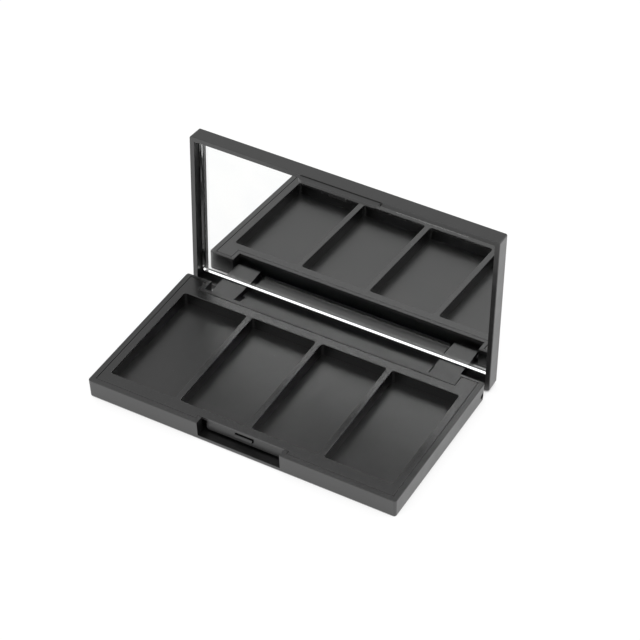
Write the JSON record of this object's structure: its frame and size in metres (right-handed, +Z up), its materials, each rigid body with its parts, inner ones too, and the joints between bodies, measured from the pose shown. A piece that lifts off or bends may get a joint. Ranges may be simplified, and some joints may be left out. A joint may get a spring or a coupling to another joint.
{
  "type": "eyeshadow palette",
  "caption": "Slim rectangular makeup palette: a moulded base with a press-in tray of open wells for colour pans, a thumb notch with a catch, and a hinged lid that holds a mirror.",
  "frame": {"origin": "middle of the base's underside", "axes": "+X along the palette's width and the hinge axis, +Y from the thumb notch to the hinge, +Z up out of the wells"},
  "size_m": [0.112, 0.0719, 0.0605],
  "materials": {
    "case_plastic": "fine satin moulded black",
    "tray_plastic": "fine satin moulded black",
    "mirror_glass": "back-silvered sheet glass with ground edges",
    "tape_foam": "thin double-sided tape",
    "pin_steel": "drawn wire"
  },
  "bodies": {
    "base": {"base_shell": "case_plastic", "pan_tray": "tray_plastic", "hinge_pin_left": "pin_steel", "hinge_pin_right": "pin_steel"},
    "lid": {"lid_shell": "case_plastic", "mirror": "mirror_glass", "mirror_tape": "tape_foam"}
  },
  "joints": [
    {"name": "lid_hinge", "type": "hinge", "parent": "base", "child": "lid", "pos_m": [0, 0.0284, 0.00242], "axis": [1, 0, 0], "range_deg": [0, 93]}
  ]
}
